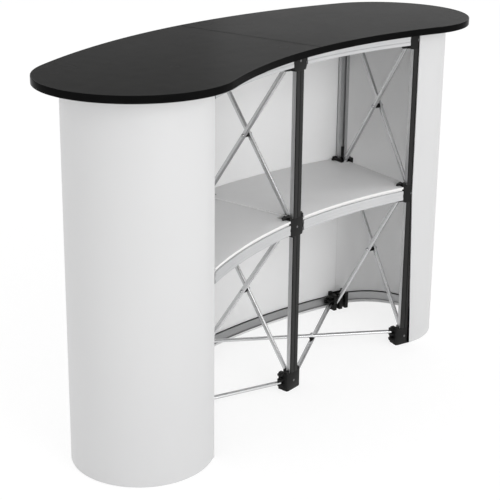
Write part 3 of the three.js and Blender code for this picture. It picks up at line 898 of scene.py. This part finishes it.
rail_material = anodised("rail_anodised", dark=0.60, pale=0.78, roughness=0.42)
# Painted shade: the floor rails take a darker copy of the rail anodising, standing in for the shade low
# inside the counter.
floor_rail_painted_shade_material = anodised("floor_rail_anodised_painted_shade", dark=0.30, pale=0.44, roughness=0.42)
rail_levels = {**levels, "middle": middle_level + shelf_rise - rail_height / 2}
rail_runs = {
    "back_left": row_rail("back", "left", "centre"),
    "back_right": row_rail("back", "centre", "right"),
    "front_left": row_rail("front", "left", "centre"),
    "front_right": row_rail("front", "centre", "right"),
    "end_left": end_rail(-1),
    "end_right": end_rail(1),
}
for run_name, level in (
    ("back_left", "top"), ("back_right", "top"), ("back_left", "middle"), ("back_right", "middle"),
    ("front_left", "bottom"), ("front_right", "bottom"), ("end_left", "bottom"), ("end_right", "bottom"),
):
    height = rail_levels[level]
    on_floor = level == "bottom"
    rail = plan_piece(f"extrusion_{run_name}_{level}", rail_runs[run_name], rail_profile(height))
    finished(
        rail, floor_rail_painted_shade_material if on_floor else rail_material,
        "frame", "rail_metal", f"rail_{run_name}_{level}",
    )
    if on_floor:
        bead = plan_piece(f"bead_{run_name}", rail_runs[run_name], bead_profile(height))
        finished(bead, strip_material, "frame", "rail_metal")

# Shelf
# Two halves of board rest on the hubs and the middle rails. The faces are pale grey
# laminate, and the cut edges carry a thin white lipping. Where the halves meet, the left
# one's lipping stands a little proud beside a dark strip on the right one, painted shade for the seam's
# gap.
shelf_edge_round = 0.0005
shelf_seam_half_gap = 0.0003
seam_hub_gap = 0.0015
seam_sink = 0.0002
lipping_rise = 0.0022
lipping_widths = (0.0052, 0.0024)
# The dark strip on the right half is painted shade for the seam's gap.
seam_shade_rise = 0.0006
seam_shade_widths = (0.0036, 0.0014)
seam_steps = 24
seam_round_steps = 11
melamine_dark = (0.75, 0.75, 0.755)
melamine_pale = (0.81, 0.81, 0.81)
edge_white = (0.80, 0.80, 0.79)
dust_on_melamine = (0.55, 0.54, 0.53)


def shelf_laminate():
    """Pale grey melamine on top, white lipping on the edges, told apart by the way they face."""
    material, tree, shader, place = bare_material("shelf_laminate", 0.5, specular=0.3)
    grain = placed_group(tree, moulded_grain, place, Grain_Scale=700.0, Cloud_Scale=7.0)
    dust = placed_group(tree, settled_dust, place, Amount=0.10)
    level = worked_out(tree, "ABSOLUTE", upward_part(tree))
    face = blended_colour(tree, grain.outputs["Shade"], melamine_dark, melamine_pale)
    dusty = blended_colour(tree, dust.outputs["Mask"], face, dust_on_melamine)
    colour = blended_colour(tree, level, edge_white, dusty)
    tree.links.new(colour, shader.inputs["Base Color"])
    tree.links.new(ranged(tree, grain.outputs["Shade"], 0.42, 0.58), shader.inputs["Roughness"])
    raised(tree, shader, grain.outputs["Height"], 0.00004)
    return material


shelf_material = shelf_laminate()
for hand in ("left", "right"):
    shelf = softened_copy(f"shelf_board_{hand}", f"shelf_{hand}", shelf_edge_round)
    finished(shelf, shelf_material, "frame", "shelf_laminate", f"shelf_{hand}")


def seam_strip(name, side, widths, rise):
    """Strip beside the shelf's seam, from the back hub to the front one. Across, it is half an
    ellipse of its width and rise, and its width goes evenly from the first value to the last."""
    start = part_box("hub_back_centre_middle")[1][1] + seam_hub_gap
    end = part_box("hub_front_centre_middle")[0][1] - seam_hub_gap
    run = np.linspace(0, 1, seam_steps)[:, None]
    turn = np.linspace(0, math.pi, seam_round_steps)
    width = widths[0] + (widths[1] - widths[0]) * run
    across = side * (shelf_seam_half_gap + width / 2 * (1 - np.cos(turn)))
    height = np.broadcast_to(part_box("shelf_left")[1][2] - seam_sink + rise * np.sin(turn), across.shape)
    along = np.broadcast_to(start + (end - start) * run, across.shape)
    lay = np.stack([along, across, height], axis=-1)
    return grid_piece(name, np.stack([across, along, height], axis=-1), lay, smooth_angle=60.0)


lipping_material = clouded_plastic(
    "lipping_white", roughness=0.35, gloss_range=(0.28, 0.42), specular=0.4, grain=900.0, cloud=12.0,
    dark=(0.90, 0.90, 0.90), pale=(0.96, 0.96, 0.95), relief=0.00003,
)
lipping = seam_strip("shelf_seam_lipping", -1, lipping_widths, lipping_rise)
finished(lipping, lipping_material, "frame", "shelf_laminate")
# Painted shade: a dark strip beside the seam stands in for the shadow of the gap between the halves.
seam_shade_strip = seam_strip("shelf_seam_painted_shade", 1, seam_shade_widths, seam_shade_rise)
finished(seam_shade_strip, strip_material, "frame", "shelf_laminate")

# Wrap panels
# Plain white sheets of bendy plastic hang round the frame on magnets: two on the
# customers' side and one round each end, with their edges on the posts.
panel_floor_gap = 0.001
left_panel_reach = 0.017
right_panel_reach = -0.001
right_panel_flare = 0.016
panel_edge_round = 0.0007
painted_light_blend_start = 0.4
painted_light_blend_full = 0.8
seam_gap = 0.0006
worktop_thickness = 0.018
sheet_dark = (0.605, 0.605, 0.61)
sheet_pale = (0.65, 0.65, 0.65)
# Painted light: the sheet's inside face is whiter than its outside, standing in for light inside the
# counter.
sheet_inside_painted_light = (0.93, 0.93, 0.93)
dust_on_sheet = (0.6, 0.59, 0.58)


def panel_plastic():
    """Smooth sheet, grey-white outside and painted whiter inside as painted light, faintly clouded and
    softly rippled.
    """
    material, tree, shader, place = bare_material("panel_white_painted_light_inside", 0.45, specular=0.35)
    grain = placed_group(tree, moulded_grain, place, Grain_Scale=420.0, Cloud_Scale=2.2)
    dust = placed_group(tree, settled_dust, place, Amount=0.3)
    body = blended_colour(tree, grain.outputs["Shade"], sheet_dark, sheet_pale)
    split = tree.nodes.new("ShaderNodeSeparateXYZ")
    tree.links.new(lay_of(tree), split.inputs["Vector"])
    # Painted light: towards the inner face the colour blends to the whiter inside colour.
    inside = tree.nodes.new("ShaderNodeMapRange")
    inside.inputs["From Min"].default_value = -panel_thickness * painted_light_blend_start
    inside.inputs["From Max"].default_value = -panel_thickness * painted_light_blend_full
    tree.links.new(split.outputs["Y"], inside.inputs["Value"])
    sided = blended_colour(tree, inside.outputs["Result"], body, sheet_inside_painted_light)
    dusty = blended_colour(tree, dust.outputs["Mask"], sided, dust_on_sheet)
    tree.links.new(dusty, shader.inputs["Base Color"])
    tree.links.new(ranged(tree, grain.outputs["Shade"], 0.38, 0.55), shader.inputs["Roughness"])
    ripple = tree.nodes.new("ShaderNodeTexNoise")
    ripple.inputs["Scale"].default_value = 3.0
    ripple.inputs["Detail"].default_value = 1.0
    tree.links.new(place, ripple.inputs["Vector"])
    raised(tree, shader, ripple.outputs["Fac"], 0.004, 0.35)
    return material


panel_material = panel_plastic()
panel_low = panel_floor_gap
panel_high = cad_high[2] - worktop_thickness - panel_gap
panel_corners = np.split(rounded([
    (0.0, panel_low), (0.0, panel_high), (-panel_thickness, panel_high), (-panel_thickness, panel_low),
], panel_edge_round), 4)
panel_profile = np.concatenate([
    panel_corners[0], [(0.0, middle_level)], panel_corners[1],
    panel_corners[2], [(-panel_thickness, middle_level)], panel_corners[3],
])
front_face = arc_radius + wrap_half_width
back_face = arc_radius - wrap_half_width
slack = seam_gap / 2 / front_face


def flared_edge(side, tip, finish, flare):
    """Moves a panel's last stretch back round the counter's centre. The angle is the flare over
    the radius, times the share of the way down from the shelf, times the share of the stretch."""
    def moved(points):
        """The points after the turn."""
        bearing = np.arctan2(points[..., 0], points[..., 1] - centre_y)
        radius = np.hypot(points[..., 0], points[..., 1] - centre_y)
        down = np.clip((middle_level - points[..., 2]) / (middle_level - panel_low), 0, 1)
        along = np.clip((bearing - tip) / (finish - tip), 0, 1) * (radius < arc_radius)
        bearing = bearing + side * flare / back_face * down * along
        return np.stack([
            radius * np.sin(bearing), centre_y + radius * np.cos(bearing), points[..., 2],
        ], axis=-1)
    return moved


for hand, side, reach, flare in (
    ("left", -1, left_panel_reach, 0.0), ("right", 1, right_panel_reach, right_panel_flare),
):
    front = plan_piece(
        f"sheet_front_{hand}",
        [bent_run(front_face, side * slack, side * (column_angle - slack), 1)], panel_profile,
    )
    finished(front, panel_material, f"panel_front_{hand}", "panel_plastic", f"panel_front_{hand}")
    tip = side * wrap_half_angle
    finish = side * (column_angle - reach / back_face)
    end = plan_piece(f"sheet_end_{hand}", [
        bent_run(front_face, side * (column_angle + slack), tip, 1),
        end_run(side, wrap_half_angle, wrap_half_width, tip, tip + side * math.pi),
        bent_run(back_face, tip, finish, -1),
    ], panel_profile, moved=flared_edge(side, tip, finish, flare))
    finished(end, panel_material, f"panel_end_{hand}", "panel_plastic", f"panel_end_{hand}")

# Worktop
# Two halves of board, faced with dark satin laminate and edged with a black plastic
# band, drop onto the top hubs' pegs and meet over the middle column. A thin seal on the
# left half closes the seam below the surface.
worktop_half_angle = math.radians(20.1)
band_thickness = 0.0015
band_depth = band_thickness * 2
band_edge_round = 0.0012
board_inset = 0.0003
outline_ease = 0.0002
seam_band_thickness = 0.0008
seam_band_round = 0.0002
seal_thickness = 0.00055
seal_setback = 0.002
laminate_dark = (0.011, 0.011, 0.0107)
laminate_pale = (0.017, 0.017, 0.0166)
dust_on_laminate = (0.3, 0.29, 0.28)
underside_foil = (0.66, 0.66, 0.66)
downward = -0.5


def worktop_laminate():
    """Near-black satin laminate with a trace of dust, and a pale balancing foil underneath."""
    material, tree, shader, place = bare_material("worktop_laminate", 0.25, specular=0.002)
    grain = placed_group(tree, moulded_grain, place, Grain_Scale=1100.0, Cloud_Scale=5.0)
    dust = placed_group(tree, settled_dust, place, Amount=0.03)
    body = blended_colour(tree, grain.outputs["Shade"], laminate_dark, laminate_pale)
    dusty = blended_colour(tree, dust.outputs["Mask"], body, dust_on_laminate)
    below = worked_out(tree, "LESS_THAN", upward_part(tree), downward)
    sided = blended_colour(tree, below, dusty, underside_foil)
    tree.links.new(sided, shader.inputs["Base Color"])
    tree.links.new(ranged(tree, grain.outputs["Shade"], 0.22, 0.30), shader.inputs["Roughness"])
    raised(tree, shader, grain.outputs["Height"], 0.00005)
    return material


def worktop_runs(side, inset):
    """Outline of one half, from the seam along the front, round the end and back to the seam."""
    half = worktop_half_width - outline_ease - inset
    tip = side * worktop_half_angle
    seam = side * (seam_gap / 2 / arc_radius)
    return [
        bent_run(arc_radius + half, seam, tip, 1),
        end_run(side, worktop_half_angle, half, tip, tip + side * math.pi),
        bent_run(arc_radius - half, tip, seam, -1),
    ]


def seam_run(side):
    """Plan path along one half's side of the seam, from inside the back band to the front one."""
    reach = worktop_half_width - band_depth
    path = np.array([
        (side * seam_gap / 2, centre_y + arc_radius - reach, 0.0),
        (side * seam_gap / 2, centre_y + arc_radius + reach, 0.0),
    ])
    return [(path, np.array([(-side, 0.0, 0.0)] * 2))]


worktop_material = worktop_laminate()
band_material = clouded_plastic(
    "edge_band", roughness=0.2, gloss_range=(0.16, 0.24), specular=0.006, grain=1500.0, cloud=20.0,
    dark=(0.0035, 0.0035, 0.0035), pale=(0.0065, 0.0065, 0.0065), relief=0.00003,
)
worktop_high = cad_high[2]
worktop_low = worktop_high - worktop_thickness
board_reach = worktop_half_width - band_thickness
board_profile = np.array([
    (-board_reach, worktop_high - board_inset), (0.0, worktop_high - board_inset),
    (0.0, worktop_low + board_inset), (-board_reach, worktop_low + board_inset),
])
band_profile = rounded([
    (0.0, worktop_low), (0.0, worktop_high), (-band_depth, worktop_high), (-band_depth, worktop_low),
], band_edge_round)
seam_profile = rounded([
    (0.0, worktop_low), (0.0, worktop_high),
    (-seam_band_thickness, worktop_high), (-seam_band_thickness, worktop_low),
], seam_band_round)
seal_profile = np.array([
    (0.0, worktop_low + seal_setback), (seal_thickness, worktop_low + seal_setback),
    (seal_thickness, worktop_high - seal_setback), (0.0, worktop_high - seal_setback),
])
for hand, side in (("left", -1), ("right", 1)):
    board = plan_piece(f"board_{hand}", worktop_runs(side, band_thickness), board_profile, closed=False)
    finished(board, worktop_material, f"worktop_{hand}", "worktop_laminate", f"worktop_{hand}")
    band = plan_piece(f"edge_band_{hand}", worktop_runs(side, 0.0), band_profile)
    finished(band, band_material, f"worktop_{hand}", "worktop_laminate")
    seam_band = plan_piece(f"seam_band_{hand}", seam_run(side), seam_profile)
    finished(seam_band, band_material, f"worktop_{hand}", "worktop_laminate")
seal = plan_piece("seam_seal", seam_run(-1), seal_profile)
finished(seal, strip_material, "worktop_left", "worktop_laminate")
